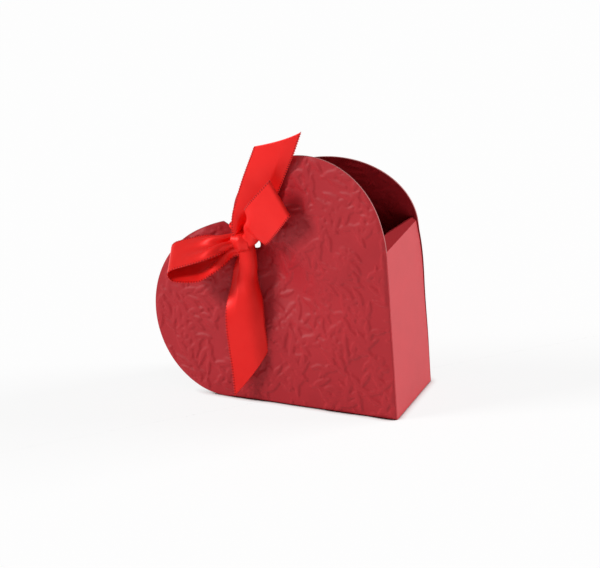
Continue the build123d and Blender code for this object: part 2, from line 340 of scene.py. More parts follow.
def within(points, loop):
    """Whether each point lies inside a closed loop of points."""
    inside = np.zeros(len(points), bool)
    along, across = points[:, 0], points[:, 1]
    for start, end in zip(loop, np.roll(loop, -1, axis=0)):
        if start[1] == end[1]:
            continue
        crosses = (start[1] > across) != (end[1] > across)
        meets = start[0] + (across - start[1]) / (end[1] - start[1]) * (end[0] - start[0])
        inside ^= crosses & (along < meets)
    return inside


def heart_net(outline, hole):
    """Flat points and triangles that fill the outline round the hole, and where in them each point of
    the outline and the hole is."""
    rim = np.vstack((outline, hole))
    low, high = outline.min(0), outline.max(0)
    rows = np.arange(low[0], high[0], net_step * math.sqrt(3) / 2)
    columns = np.arange(low[1], high[1], net_step)
    net = np.array([(p, q + net_step / 2 * (i % 2)) for i, p in enumerate(rows) for q in columns])
    inside, reach = from_fold(net[:, 0], net[:, 1])
    beside_fold = (inside < fold_radius + net_clearance) & (reach < side_length)
    kept = (from_rim(net, rim) > net_clearance) & ~beside_fold
    net = net[kept & within(net, outline) & ~within(net, hole)]
    # The net is joined in millimetres, because the joining works to a fixed closeness
    points = np.vstack((rim, net, fold_rows())) * millimetres
    edges = [(i, (i + 1) % len(outline)) for i in range(len(outline))]
    edges += [(len(outline) + i, len(outline) + (i + 1) % len(hole)) for i in range(len(hole))]
    joined = delaunay_2d_cdt([Vector(p) for p in points], edges, [], 0, join_closeness, True)
    flat = np.array(joined[0]) / millimetres
    faces = np.array(joined[2])
    centres = flat[faces].mean(axis=1)
    faces = faces[within(centres, outline) & ~within(centres, hole)]
    origin = [ids[0] if ids else -1 for ids in joined[3]]
    return flat, faces, {o: i for i, o in enumerate(origin) if 0 <= o < len(rim)}


def heart_panel(name, face_y, inward, bend):
    """A bent, embossed heart of card with its punched hole: coated outside, a deeper red of painted shade
    inside, raw at the cuts.
    """
    outline, raw = heart_outline(bend)
    turn = np.arange(hole_points) * math.tau / hole_points
    hole = np.stack((hole_from_tip + hole_radius * np.cos(turn), hole_radius * np.sin(turn)), axis=1)
    flat, faces, place_of = heart_net(outline, hole)
    along, across = flat[:, 0], flat[:, 1]
    clear = from_rim(flat, np.vstack((outline, hole)))
    relief = leaf_scroll(along, across) * np.clip(clear / emboss_margin, 0, 1)
    inside, reach = from_fold(along, across)
    round_off = np.sqrt(1 - np.clip(1 - inside / fold_radius, 0, 1) ** 2)
    round_off = fold_radius * (1 - round_off) * np.clip((side_length - reach) / fold_fade, 0, 1)
    pressed_y = face_y + inward * (drawn_in(along, across, bend) - relief)
    outer = heart_place(along, across, pressed_y + inward * round_off)
    inner = heart_place(along, across, pressed_y + inward * card)
    first = flat[faces[:, 1]] - flat[faces[:, 0]]
    second = flat[faces[:, 2]] - flat[faces[:, 0]]
    winding = np.sign((first[:, 0] * second[:, 1] - first[:, 1] * second[:, 0]).sum())
    shown = faces if winding * inward > 0 else faces[:, ::-1]
    face_materials = (card_material, core_material, shade_card_material)
    coated, cut_edge, inner_shaded = range(len(face_materials))
    all_faces = [tuple(f) for f in shown] + [tuple(f + len(flat)) for f in shown[:, ::-1]]
    # The inner faces take the deeper red: painted shade for the inside of the box
    material_index = [coated] * len(shown) + [inner_shaded] * len(shown)
    rim_edges = []
    for loop_start, cut in ((0, raw), (len(outline), np.ones(hole_points, bool))):
        for i in range(len(cut)):
            a = place_of[loop_start + i]
            b = place_of[loop_start + (i + 1) % len(cut)]
            all_faces.append((a, b, b + len(flat), a + len(flat)))
            material_index.append(cut_edge if cut[i] else coated)
            rim_edges += [(a, b), (a + len(flat), b + len(flat))]
    mesh = bpy.data.meshes.new(name)
    mesh.from_pydata(np.vstack((outer, inner)).tolist(), [], all_faces)
    for face_material in face_materials:
        mesh.materials.append(face_material)
    mesh.polygons.foreach_set("material_index", material_index)
    mesh.polygons.foreach_set("use_smooth", [True] * len(all_faces))
    sharp = {tuple(sorted(e)) for e in rim_edges}
    marks = mesh.attributes.new("sharp_edge", "BOOLEAN", "EDGE")
    marks.data.foreach_set("value", [tuple(sorted(e.vertices)) in sharp for e in mesh.edges])
    panel = bpy.data.objects.new(name, mesh)
    bpy.context.scene.collection.objects.link(panel)
    # The rim's faces turn outwards with the rest
    work = bmesh.new()
    work.from_mesh(mesh)
    bmesh.ops.recalc_face_normals(work, faces=work.faces)
    work.to_mesh(mesh)
    work.free()
    return panel


def node_shader(name):
    """A new material with its node tree and its principled shader."""
    material = bpy.data.materials.new(name)
    material.use_nodes = True
    tree = material.node_tree
    return material, tree, tree.nodes["Principled BSDF"]


def set_sockets(tree, node, sockets):
    """Gives each of a node's sockets a plain value, or a link from another node's socket."""
    for socket, value in sockets.items():
        if isinstance(value, bpy.types.NodeSocket):
            tree.links.new(value, node.inputs[socket])
        else:
            node.inputs[socket].default_value = value


def shader_node(tree, kind, sockets, **settings):
    """A new node with its settings made and its sockets filled."""
    node = tree.nodes.new(kind)
    for setting, value in settings.items():
        setattr(node, setting, value)
    set_sockets(tree, node, sockets)
    return node


def object_place(tree):
    """The socket that gives each point's place on its piece."""
    return shader_node(tree, "ShaderNodeTexCoord", {}).outputs["Object"]


def mixed_colours(tree, share, first, second):
    """The socket of a colour that goes from the first to the second as the share grows."""
    mix = shader_node(tree, "ShaderNodeMix", {"Factor": share, 6: first, 7: second}, data_type="RGBA")
    return mix.outputs[2]


def cloudy_colour(tree, scale, detail, first, second):
    """The socket of a colour that drifts between two shades of a dye."""
    sockets = {"Vector": object_place(tree), "Scale": scale, "Detail": detail}
    clouds = shader_node(tree, "ShaderNodeTexNoise", sockets)
    return mixed_colours(tree, clouds.outputs["Fac"], first, second)


# Pearl card: fine fibres in the sheet, a soft gloss, and slow clouds of depth in the dye
card_red = (0.480, 0.0110, 0.0205, 1)
card_red_deep = (0.395, 0.0075, 0.0145, 1)
card_roughness = 0.56
card_specular = 0.40
card_sheen = 0.16
card_sheen_roughness = 0.35
card_grain = 0.25
cloud_scale = 140.0
cloud_detail = 4.0
fibre_scale = 2600.0
fibre_detail = 3.0
fibre_depth = 0.00005


def fibre_grain(tree, detail, strength):
    """The socket of a surface roughened by the sheet's fine fibres."""
    sockets = {"Vector": object_place(tree), "Scale": fibre_scale, "Detail": detail}
    fibre = shader_node(tree, "ShaderNodeTexNoise", sockets)
    sockets = {"Height": fibre.outputs["Fac"], "Strength": strength, "Distance": fibre_depth}
    return shader_node(tree, "ShaderNodeBump", sockets).outputs["Normal"]


def pearl_card(name):
    """The card's coated outer face."""
    material, tree, shader = node_shader(name)
    set_sockets(tree, shader, {
        "Base Color": cloudy_colour(tree, cloud_scale, cloud_detail, card_red, card_red_deep),
        "Normal": fibre_grain(tree, fibre_detail, card_grain),
        "Roughness": card_roughness,
        "Specular IOR Level": card_specular,
        "Sheen Weight": card_sheen,
        "Sheen Roughness": card_sheen_roughness,
    })
    return material


# Inside of the card: the same dye painted deeper, as painted shade for the inside of the box and the side's
# lip, and without shine
shade_red = (0.250, 0.0055, 0.0095, 1)
inside_roughness = 0.85
inside_specular = 0.12
inside_grain = 0.3


def shaded_card(name):
    """The card's inner faces, in a deeper red that is painted shade."""
    material, tree, shader = node_shader(name)
    set_sockets(tree, shader, {
        "Base Color": shade_red,
        "Normal": fibre_grain(tree, fibre_detail, inside_grain),
        "Roughness": inside_roughness,
        "Specular IOR Level": inside_specular,
    })
    return material


# Raw edge: where the die cuts through the card its paler core shows
core_red = (0.36, 0.10, 0.10, 1)
core_roughness = 0.8
core_grain = 0.4
core_detail = 2.0


def raw_core(name):
    """The card's cut edge."""
    material, tree, shader = node_shader(name)
    set_sockets(tree, shader, {
        "Base Color": core_red,
        "Normal": fibre_grain(tree, core_detail, core_grain),
        "Roughness": core_roughness,
    })
    return material


card_material = pearl_card("pearl_red_card")
core_material = raw_core("raw_card_edge")
shade_card_material = shaded_card("red_card_painted_shade")

front_panel = heart_panel("front_heart", -box_depth / 2, 1, front_bend)
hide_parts("front_heart_panel")
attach(front_panel, "box")

# Back heart panel
# The matching heart of the same blank, embossed alike and bent further, so that its lobes lean
# towards the front heart. Its inside shows through the mouth.
back_panel = heart_panel("back_heart", box_depth / 2, -1, back_bend)
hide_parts("back_heart_panel")
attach(back_panel, "box")

# Base panel, side panel and glue flaps
# Plain strips of the same card, folded between the hearts and glued inside. They aren't embossed. Faces
# turned fully outwards take the pearl coat; all others, the side's folded lip and the flaps among them, take
# painted shade.
base_outward = Vector((0, 0, -1))
side_outward = Vector((math.sin(2 * half_angle), 0, math.cos(2 * half_angle)))
outer_face = 0.95
for node, outward in (
    ("base_panel", base_outward),
    ("side_panel", side_outward),
    ("side_glue_flap", None),
    ("tip_glue_flap", None),
):
    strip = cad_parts[node]
    strip.data.materials.clear()
    strip.data.materials.append(shade_card_material)
    if outward is not None:
        strip.data.materials.append(card_material)
        for face in strip.data.polygons:
            # A face not turned fully outwards gets the deeper red of painted shade
            face.material_index = int(face.normal.dot(outward) > outer_face)

# Ribbon tie
# The satin ribbon, bunched to a narrow band, through the two holes and over the cleft.
# It draws the hearts together, and the knot sits on its front.
ribbon_width = 10.5e-3
ribbon_thickness = 0.20e-3
ribbon_columns = 49
edge_roll = (0.34, 0.14)
ring_step = 0.35e-3
corner_steps = 6
tie_gather = math.radians(112)
tie_waves = 3
tie_thickness = 1.2e-3
tie_slack = 0.6e-3

# Satin: a tinted shine, a slow drift in the dye, a fine rib, and dark stitches along the woven edge
satin_red = (0.985, 0.0250, 0.0210, 1)
satin_red_deep = (0.925, 0.0150, 0.0130, 1)
satin_edge = (0.46, 0.0045, 0.0055, 1)
satin_edge_width = 0.50e-3
satin_edge_soft = 0.7
satin_drift_scale = 260.0
satin_drift_detail = 3.0
satin_metallic = 0.25
satin_glow = 0.15
satin_glow_radius = (1.0, 0.05, 0.05)
satin_glow_depth = 0.0006
satin_roughness = 0.40
satin_specular = 0.22
picot_spacing = 0.73e-3
stitch_swing = (-0.2, 0.5)
stitch_least = 0.15
weave_pitch = 0.17e-3
weave_turn = 20
weave_stray = 0.5
weave_grain = 0.15
weave_depth = 0.00002


def worked_out(tree, operation, *values):
    """The socket of a sum on plain values and other nodes' sockets."""
    return shader_node(tree, "ShaderNodeMath", dict(enumerate(values)), operation=operation).outputs[0]


def rescaled(tree, value, start, end, least=0.0, most=1.0):
    """The socket of a value that goes from least to most as the given one goes from start to end."""
    sockets = {"Value": value, "From Min": start, "From Max": end, "To Min": least, "To Max": most}
    return shader_node(tree, "ShaderNodeMapRange", sockets).outputs[0]


def satin(name):
    """Woven satin, whose pattern follows the ribbon across and along."""
    material, tree, shader = node_shader(name)
    ribbon_place = shader_node(tree, "ShaderNodeUVMap", {}, uv_map="ribbon").outputs["UV"]
    apart = shader_node(tree, "ShaderNodeSeparateXYZ", {"Vector": ribbon_place})
    from_middle = worked_out(tree, "SUBTRACT", apart.outputs["X"], ribbon_width / 2)
    distance = worked_out(tree, "ABSOLUTE", from_middle)
    edge_start = ribbon_width / 2 - satin_edge_width
    edge_full = ribbon_width / 2 - satin_edge_width * satin_edge_soft
    edge = rescaled(tree, distance, edge_start, edge_full)
    turns = worked_out(tree, "MULTIPLY", apart.outputs["Y"], math.tau / picot_spacing)
    stitches = rescaled(tree, worked_out(tree, "SINE", turns), *stitch_swing, stitch_least)
    dye = cloudy_colour(tree, satin_drift_scale, satin_drift_detail, satin_red, satin_red_deep)
    stitched = worked_out(tree, "MULTIPLY", edge, stitches)
    weave_scale = math.tau / (weave_turn * weave_pitch)
    sockets = {"Vector": ribbon_place, "Scale": weave_scale, "Distortion": weave_stray}
    rib = shader_node(tree, "ShaderNodeTexWave", sockets, wave_type="BANDS", bands_direction="Y")
    sockets = {"Height": rib.outputs["Fac"], "Strength": weave_grain, "Distance": weave_depth}
    grain = shader_node(tree, "ShaderNodeBump", sockets)
    set_sockets(tree, shader, {
        "Base Color": mixed_colours(tree, stitched, dye, satin_edge),
        "Normal": grain.outputs["Normal"],
        "Metallic": satin_metallic,
        "Subsurface Weight": satin_glow,
        "Subsurface Radius": satin_glow_radius,
        "Subsurface Scale": satin_glow_depth,
        "Roughness": satin_roughness,
        "Specular IOR Level": satin_specular,
    })
    return material


satin_material = satin("red_satin")


def strip_object(name, grid, lengths, closed=False):
    """A ribbon from a grid of places, rows along it and columns across it, with its thickness."""
    rows, columns = grid.shape[:2]
    faces = []
    for i in range(rows if closed else rows - 1):
        after = (i + 1) % rows
        for j in range(columns - 1):
            a, b = i * columns + j, after * columns + j
            faces.append((a, a + 1, b + 1, b))
    mesh = bpy.data.meshes.new(name)
    mesh.from_pydata(grid.reshape(-1, 3).tolist(), [], faces)
    uv = mesh.uv_layers.new(name="ribbon")
    for polygon in mesh.polygons:
        for loop in polygon.loop_indices:
            i, j = divmod(mesh.loops[loop].vertex_index, columns)
            uv.data[loop].uv = (ribbon_width * j / (columns - 1), lengths[i, j])
    mesh.polygons.foreach_set("use_smooth", [True] * len(faces))
    strip = bpy.data.objects.new(name, mesh)
    bpy.context.scene.collection.objects.link(strip)
    solid = strip.modifiers.new("thickness", "SOLIDIFY")
    solid.thickness = ribbon_thickness
    solid.offset = 0
    solid.use_rim = True
    dressed = bpy.data.meshes.new_from_object(strip.evaluated_get(bpy.context.evaluated_depsgraph_get()))
    strip.modifiers.clear()
    strip.data = dressed
    bpy.data.meshes.remove(mesh)
    strip.data.materials.append(satin_material)
    return strip


def ribbon_section(gather, waves, curl, roll_left, roll_right, left_range=edge_roll, right_range=edge_roll):
    """Points across a ribbon whose width keeps its length: gathered in waves, curled, its edges rolled.
    Each edge's range gives the share of the half width where its roll starts, and over which it turns."""
    u = np.linspace(-1, 1, ribbon_columns)
    turn = -gather * np.sin(waves * math.pi * u) - curl * u
    for hand, roll, (roll_start, roll_soft) in ((-1, roll_left, left_range), (1, roll_right, right_range)):
        share = np.clip((hand * u - roll_start) / roll_soft, 0, 1)
        turn = turn - hand * roll * share**2 * (3 - 2 * share)
    step = ribbon_width / (ribbon_columns - 1)
    middle = (turn[1:] + turn[:-1]) / 2
    across = np.concatenate(([0], np.cumsum(np.cos(middle)))) * step
    lift = np.concatenate(([0], np.cumsum(np.sin(middle)))) * step
    return across - (across[0] + across[-1]) / 2, lift - lift.mean()


def ribbon_ring(name, middle, along_way, depth_way, across_way,
                along_half, depth_half, corner, section, slant):
    """A gathered ribbon round a closed, round-cornered path, its pleats slanting as they run."""
    path = []
    for quarter, (along_hand, depth_hand) in enumerate(((1, 1), (-1, 1), (-1, -1), (1, -1))):
        for step in range(corner_steps + 1):
            turn = math.pi / 2 * (quarter + step / corner_steps)
            along = along_hand * (along_half - corner) + corner * math.cos(turn)
            path.append((along, depth_hand * (depth_half - corner) + corner * math.sin(turn)))
    rows = []
    for start, end in zip(path, path[1:] + path[:1]):
        count = max(1, round(math.hypot(end[0] - start[0], end[1] - start[1]) / ring_step))
        for k in range(count):
            along = start[0] + (end[0] - start[0]) * k / count
            rows.append((along, start[1] + (end[1] - start[1]) * k / count))
    rows = np.array(rows)
    heading = np.roll(rows, -1, axis=0) - np.roll(rows, 1, axis=0)
    heading /= np.linalg.norm(heading, axis=1)[:, None]
    across, lift = section
    grid = np.zeros((len(rows), ribbon_columns, 3))
    for i, (along, depth) in enumerate(rows):
        out_along, out_depth = heading[i, 1], -heading[i, 0]
        tilt = slant * along
        for j in range(ribbon_columns):
            place = middle + along_way * (along + out_along * lift[j])
            place = place + depth_way * (depth + out_depth * lift[j])
            grid[i, j] = place + across_way * (across[j] + tilt)
    lengths = np.linspace(0, len(rows) * ring_step, len(rows))[:, None]
    return strip_object(name, grid, np.repeat(lengths, ribbon_columns, axis=1), closed=True)


tie_low, tie_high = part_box("ribbon_tie")
tie_length = cleft_from_tip - hole_from_tip - hole_radius + tie_slack
tie_length_half = tie_length / 2 + tie_thickness / 2
tie_depth_half = (tie_high.y - tie_low.y) / 2 - tie_thickness / 2
tie_section = ribbon_section(tie_gather, tie_waves, 0, 0, 0)
ribbon_tie = ribbon_ring(
    "tie_band", (tie_low + tie_high) / 2, Vector(axis_direction), Vector((0, 1, 0)), Vector(across_direction),
    tie_length_half, tie_depth_half, tie_thickness / 2, tie_section, 0)
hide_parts("ribbon_tie")
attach(ribbon_tie, "box")

# Bow knot
# The ribbon's own knot, pulled tight: a soft wrap with its edges tucked under, over the roots of the
# loops and the tails.
knot_low, knot_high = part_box("bow_knot")
knot_middle = (knot_low + knot_high) / 2
knot_half = (knot_high - knot_low) / 2
knot_pleat = math.radians(14)
knot_waves = 3
knot_round = math.radians(30)
knot_tuck = math.radians(150)
knot_range = (0.40, 0.17)
knot_slant = -0.12
knot_corner = 1.2e-3
knot_height_half = knot_half.z - 0.40e-3
knot_depth_half = knot_half.y - 0.30e-3
knot_section = ribbon_section(
    knot_pleat, knot_waves, knot_round, knot_tuck, knot_tuck, knot_range, knot_range)
bow_knot = ribbon_ring(
    "knot_wrap", knot_middle, Vector((0, 0, 1)), Vector((0, 1, 0)), Vector((1, 0, 0)),
    knot_height_half, knot_depth_half, knot_corner, knot_section, knot_slant)
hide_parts("bow_knot")
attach(bow_knot, "box")

# Lower tail
# The free end that hangs over the front heart, rolled narrow at the knot, opening to the ribbon's full
# width and cut on the slant to a point. Its left edge folds back below the knot.
limb_gap = 0.5e-3
upper_gap = 1.0e-3
fine_rows = 4
knot_depth = knot_high.y - knot_low.y
limb_place = Vector((knot_middle.x, knot_high.y - knot_depth / 3, knot_middle.z))
below_knot = limb_place - Vector((0, 0, knot_half.z + limb_gap))
above_knot = limb_place + Vector((0, 0, knot_half.z + upper_gap))
left_of_knot = limb_place - Vector((knot_half.x + limb_gap, 0, 0))
right_of_knot = limb_place + Vector((knot_half.x + limb_gap, 0, 0))


def smooth_rows(rows, count):
    """Rows of numbers drawn through the given ones by a smooth curve, evenly along its length."""
    rows = np.array(rows, float)
    padded = np.vstack((2 * rows[0] - rows[1], rows, 2 * rows[-1] - rows[-2]))
    run = np.linalg.norm(np.diff(rows[:, :3], axis=0), axis=1)
    reach = np.concatenate(([0], np.cumsum(run)))
    place = np.linspace(0, reach[-1], count)
    span = np.clip(np.searchsorted(reach, place, side="right") - 1, 0, len(rows) - 2)
    share = ((place - reach[span]) / run[span])[:, None]
    before, start, end, after = (padded[span + k] for k in range(4))
    return 0.5 * (
        2 * start
        + (end - before) * share
        + (2 * before - 5 * start + 4 * end - after) * share**2
        + (3 * start - before - 3 * end + after) * share**3
    )


def ribbon_limb(name, root, length, stations, rows, waves, side, ranges=(edge_roll, edge_roll),
                trim_left=0, trim_right=0, bow=1):
    """A length of ribbon through given stations. Each station gives the ribbon's middle as shares of
    the limb's length from its root, the way across it, and its gather, curl, and left and right roll in
    degrees. The end is trimmed shorter at one edge where it is cut on the slant, and the cut may bow."""
    table = []
    for middle, across, *turns in stations:
        place = root + Vector(middle) * length
        table.append((*place, *Vector(across).normalized(), *(math.radians(turn) for turn in turns)))
    fine = smooth_rows(table, fine_rows * rows)
    runs = np.linalg.norm(np.diff(fine[:, :3], axis=0), axis=1)
    reach = np.concatenate(([0], np.cumsum(runs)))
    heading = np.gradient(fine[:, :3], axis=0)
    across = fine[:, 3:6] / np.linalg.norm(fine[:, 3:6], axis=1)[:, None]
    heading -= (heading * across).sum(1)[:, None] * across
    heading /= np.linalg.norm(heading, axis=1)[:, None]
    face = np.cross(heading, across) * side
    sections = np.array([ribbon_section(turns[0], waves, *turns[1:], *ranges) for turns in fine[:, 6:]])
    surface = fine[:, None, :3] + across[:, None] * sections[:, 0, :, None]
    surface = surface + face[:, None] * sections[:, 1, :, None]
    grid = np.zeros((rows, ribbon_columns, 3))
    lengths = np.zeros((rows, ribbon_columns))
    for j in range(ribbon_columns):
        u = j / (ribbon_columns - 1)
        end = reach[-1] - trim_left * (1 - u) ** bow - trim_right * u**bow
        lengths[:, j] = np.linspace(0, end, rows)
        for axis in range(3):
            grid[:, j, axis] = np.interp(lengths[:, j], reach, surface[:, j, axis])
    return strip_object(name, grid, lengths), grid, reach[-1]


# Picots: small loops of the edge yarn, darker than the ribbon's face, all along both woven edges
picot_radius = 0.17e-3
picot_rounding = 2
picot_stop = 2
yarn_scale = 900.0
yarn_detail = 2.0
yarn_roughness = 0.55


def selvedge(name):
    """Twisted satin yarn, a little darker than the ribbon's face."""
    material, tree, shader = node_shader(name)
    set_sockets(tree, shader, {
        "Base Color": cloudy_colour(tree, yarn_scale, yarn_detail, satin_edge, satin_red_deep),
        "Roughness": yarn_roughness,
    })
    return material


def picot_group():
    """Small woven loops, one after another, along an edge of the ribbon."""
    group = bpy.data.node_groups.new("picot_edge", "GeometryNodeTree")
    face = group.interface
    face.new_socket(name="Edge", in_out="INPUT", socket_type="NodeSocketGeometry")
    face.new_socket(name="Spacing", in_out="INPUT", socket_type="NodeSocketFloat")
    face.new_socket(name="Radius", in_out="INPUT", socket_type="NodeSocketFloat")
    face.new_socket(name="Material", in_out="INPUT", socket_type="NodeSocketMaterial")
    face.new_socket(name="Picots", in_out="OUTPUT", socket_type="NodeSocketGeometry")
    start = group.nodes.new("NodeGroupInput")
    end = group.nodes.new("NodeGroupOutput")
    curve = group.nodes.new("GeometryNodeMeshToCurve")
    spaced_out = group.nodes.new("GeometryNodeResampleCurve")
    spaced_out.mode = "LENGTH"
    loop = group.nodes.new("GeometryNodeMeshIcoSphere")
    loop.inputs["Subdivisions"].default_value = picot_rounding
    place = group.nodes.new("GeometryNodeInstanceOnPoints")
    real = group.nodes.new("GeometryNodeRealizeInstances")
    smooth = group.nodes.new("GeometryNodeSetShadeSmooth")
    dress = group.nodes.new("GeometryNodeSetMaterial")
    join = group.links.new
    join(start.outputs["Edge"], curve.inputs["Mesh"])
    join(curve.outputs["Curve"], spaced_out.inputs["Curve"])
    join(start.outputs["Spacing"], spaced_out.inputs["Length"])
    join(spaced_out.outputs["Curve"], place.inputs["Points"])
    join(start.outputs["Radius"], loop.inputs["Radius"])
    join(loop.outputs["Mesh"], place.inputs["Instance"])
    join(place.outputs["Instances"], real.inputs["Geometry"])
    join(real.outputs["Geometry"], smooth.inputs["Geometry"])
    join(smooth.outputs["Geometry"], dress.inputs["Geometry"])
    join(start.outputs["Material"], dress.inputs["Material"])
    join(dress.outputs["Geometry"], end.inputs["Picots"])
    return group


selvedge_material = selvedge("satin_selvedge")
picots = picot_group()


def picot_edge(name, grid, skip):
    """The picots along both edges of a limb, from a little way out of the knot to just short of its end."""
    kept = grid[skip:-picot_stop]
    points = np.vstack((kept[:, 0], kept[:, -1]))
    count = len(kept)
    edges = [(i, i + 1) for i in range(count - 1)] + [(count + i, count + i + 1) for i in range(count - 1)]
    mesh = bpy.data.meshes.new(name)
    mesh.from_pydata(points.tolist(), edges, [])
    rail = bpy.data.objects.new(name, mesh)
    bpy.context.scene.collection.objects.link(rail)
    modifier = rail.modifiers.new("picots", "NODES")
    modifier.node_group = picots
    values = {"Spacing": picot_spacing, "Radius": picot_radius, "Material": selvedge_material}
    for socket in picots.interface.items_tree:
        if socket.in_out == "INPUT" and socket.name in values:
            modifier[socket.identifier] = values[socket.name]
    made = bpy.data.meshes.new_from_object(rail.evaluated_get(bpy.context.evaluated_depsgraph_get()))
    rail.modifiers.clear()
    rail.data = made
    bpy.data.meshes.remove(mesh)
    return rail


def dress_limb(limb, grid, skip, node):
    """The limb's picots, with the limb's CAD part hidden and both pieces baked into their place in the frame.
    """
    edge = picot_edge(node + "_picots", grid, skip)
    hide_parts(node)
    for piece in (limb, edge):
        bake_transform(piece)


lower_tail_length = 38.0e-3
lower_tail_trim = 10.4e-3
lower_tail_ranges = (edge_roll, (-0.15, 1.10))
lower_tail_stations = (
    ((0.000, 0.000, 0.085), (1.00, 0.00, 0.10), 0, 0, 100, 150),
    ((0.010, -0.020, 0.034), (0.99, 0.00, 0.14), 0, 0, 88, 150),
    ((0.010, -0.052, -0.095), (0.98, -0.02, 0.17), 0, 0, 40, 138),
    ((0.020, -0.084, -0.188), (0.98, 0.00, 0.20), 0, 0, 40, 108),
    ((0.044, -0.131, -0.273), (0.98, 0.06, 0.18), 0, 0, 24, 78),
    ((0.059, -0.165, -0.360), (0.97, 0.12, 0.19), 0, 0, 8, 54),
    ((0.076, -0.190, -0.476), (0.96, 0.15, 0.21), 0, 0, 0, 46),
    ((0.102, -0.201, -0.636), (0.96, 0.17, 0.22), 0, 0, 0, 42),
    ((0.128, -0.209, -0.782), (0.96, 0.18, 0.23), 0, 0, 0, 34),
    ((0.148, -0.219, -0.942), (0.96, 0.18, 0.23), 0, 0, 0, 24),
)
lower_tail, lower_grid, lower_run = ribbon_limb(
    "lower_tail_ribbon", below_knot, lower_tail_length, lower_tail_stations, rows=96, waves=1, side=1,
    ranges=lower_tail_ranges, trim_right=lower_tail_trim, bow=1.12)
dress_limb(lower_tail, lower_grid, 12, "lower_tail")

# Upper tail
# The other free end of the ribbon, which stands up over the cleft and leans to the right. It is pleated
# where the knot grips it, opens out flat, and is cut on the slant.
upper_tail_length = 34.0e-3
upper_tail_trim = 8.0e-3
upper_tail_stations = (
    ((0.000, 0.010, -0.110), (1.00, 0.00, 0.10), -96, 0, 0, 0),
    ((0.006, -0.009, -0.027), (1.00, 0.00, 0.13), -95, 0, 0, 0),
    ((0.050, -0.032, 0.082), (0.98, -0.10, 0.14), -60, 0, 0, 0),
    ((0.102, -0.041, 0.215), (0.99, -0.09, 0.04), -14, 0, 0, 0),
    ((0.148, -0.049, 0.350), (1.00, -0.06, -0.05), -6, 0, 0, 0),
    ((0.212, -0.059, 0.531), (0.99, -0.04, -0.12), 0, 6, 0, 14),
    ((0.275, -0.068, 0.693), (0.99, -0.02, -0.17), 0, 8, 0, 8),
    ((0.348, -0.072, 0.905), (0.99, -0.01, -0.17), 0, 6, 0, 0),
)
upper_tail, upper_grid, upper_run = ribbon_limb(
    "upper_tail_ribbon", above_knot, upper_tail_length, upper_tail_stations, rows=90, waves=1, side=-1,
    trim_left=upper_tail_trim, bow=0.80)
dress_limb(upper_tail, upper_grid, 16, "upper_tail")

# Left loop
# The bow's loop at the left, a run of the same ribbon turned back on itself and pleated into the knot.
# It is open towards the viewer, so that its lit back and its dark inside show.
loop_root_rows = 18
left_loop_length = 19.0e-3
left_loop_stations = (
    ((0.110, -0.030, 0.000), (0.20, -0.70, -0.65), -88, 0, 0, 0),
    ((0.010, -0.060, 0.000), (0.30, -0.72, -0.55), -90, 0, 0, 0),
    ((-0.104, -0.150, -0.004), (0.38, -0.85, -0.30), -78, 0, 0, 0),
    ((-0.250, -0.222, -0.030), (0.34, -0.88, -0.30), -44, 0, 0, 0),
    ((-0.430, -0.263, -0.102), (0.32, -0.90, -0.31), -12, 0, 0, 0),
    ((-0.695, -0.295, -0.205), (0.27, -0.90, -0.34), 0, 0, 0, 0),
    ((-0.785, -0.305, -0.250), (0.26, -0.91, -0.33), 0, 0, 0, 0),
    ((-0.820, -0.315, -0.310), (0.25, -0.92, -0.32), 0, 0, 0, 0),
    ((-0.790, -0.320, -0.370), (0.25, -0.92, -0.32), 0, 0, 0, 0),
    ((-0.690, -0.320, -0.405), (0.24, -0.92, -0.32), 0, 0, 0, 0),
    ((-0.395, -0.295, -0.370), (0.24, -0.92, -0.32), 2, 0, 0, 0),
    ((-0.210, -0.240, -0.245), (0.24, -0.91, -0.34), 18, 0, 0, 0),
    ((-0.080, -0.155, -0.125), (0.22, -0.85, -0.45), 52, 0, 0, 0),
    ((0.010, -0.075, -0.062), (0.20, -0.72, -0.65), 80, 0, 0, 0),
    ((0.110, -0.045, -0.045), (0.20, -0.70, -0.68), 84, 0, 0, 0),
)
left_loop, left_grid, left_run = ribbon_limb(
    "left_loop_ribbon", left_of_knot, left_loop_length, left_loop_stations, rows=130, waves=2, side=1)
dress_limb(left_loop, left_grid[:-loop_root_rows], loop_root_rows, "left_loop")

# Right loop
# The bow's loop at the right, a run of the same ribbon pressed flat, with a soft fold at its far end. It
# stands a little off the heart. Its front leaf is rolled into the knot, and its back leaf pleated.
right_loop_length = 20.0e-3
right_loop_ranges = ((0.10, 0.60), (0.10, 0.60))
right_loop_stations = (
    ((-0.130, -0.050, -0.030), (0.77, -0.06, -0.63), 0, 0, 150, 160),
    ((0.040, -0.090, 0.080), (0.77, -0.06, -0.63), 0, 0, 142, 112),
    ((0.118, -0.150, 0.152), (0.76, -0.04, -0.65), 0, 0, 128, 18),
    ((0.112, -0.194, 0.232), (0.74, -0.03, -0.67), 0, 0, 66, 8),
    ((0.169, -0.256, 0.354), (0.74, -0.02, -0.67), 0, 0, 14, 4),
    ((0.336, -0.332, 0.569), (0.65, -0.02, -0.76), 0, 0, 0, 0),
    ((0.473, -0.356, 0.745), (0.54, -0.02, -0.84), 0, 0, 0, 0),
    ((0.500, -0.348, 0.781), (0.53, -0.02, -0.85), 0, 0, 0, 0),
    ((0.508, -0.328, 0.792), (0.53, -0.02, -0.85), 0, 0, 0, 0),
    ((0.498, -0.309, 0.778), (0.53, -0.02, -0.85), 0, 0, 0, 0),
    ((0.462, -0.286, 0.736), (0.55, -0.02, -0.83), 8, 0, 0, 0),
    ((0.324, -0.230, 0.563), (0.65, -0.02, -0.76), 40, 0, 0, 0),
    ((0.176, -0.156, 0.350), (0.74, -0.02, -0.67), 76, 0, 0, 0),
    ((0.092, -0.104, 0.210), (0.75, -0.03, -0.66), 96, 0, 0, 0),
    ((0.000, -0.050, 0.085), (0.77, -0.06, -0.63), 106, 0, 0, 0),
    ((-0.130, -0.010, -0.030), (0.77, -0.06, -0.63), 110, 0, 0, 0),
)
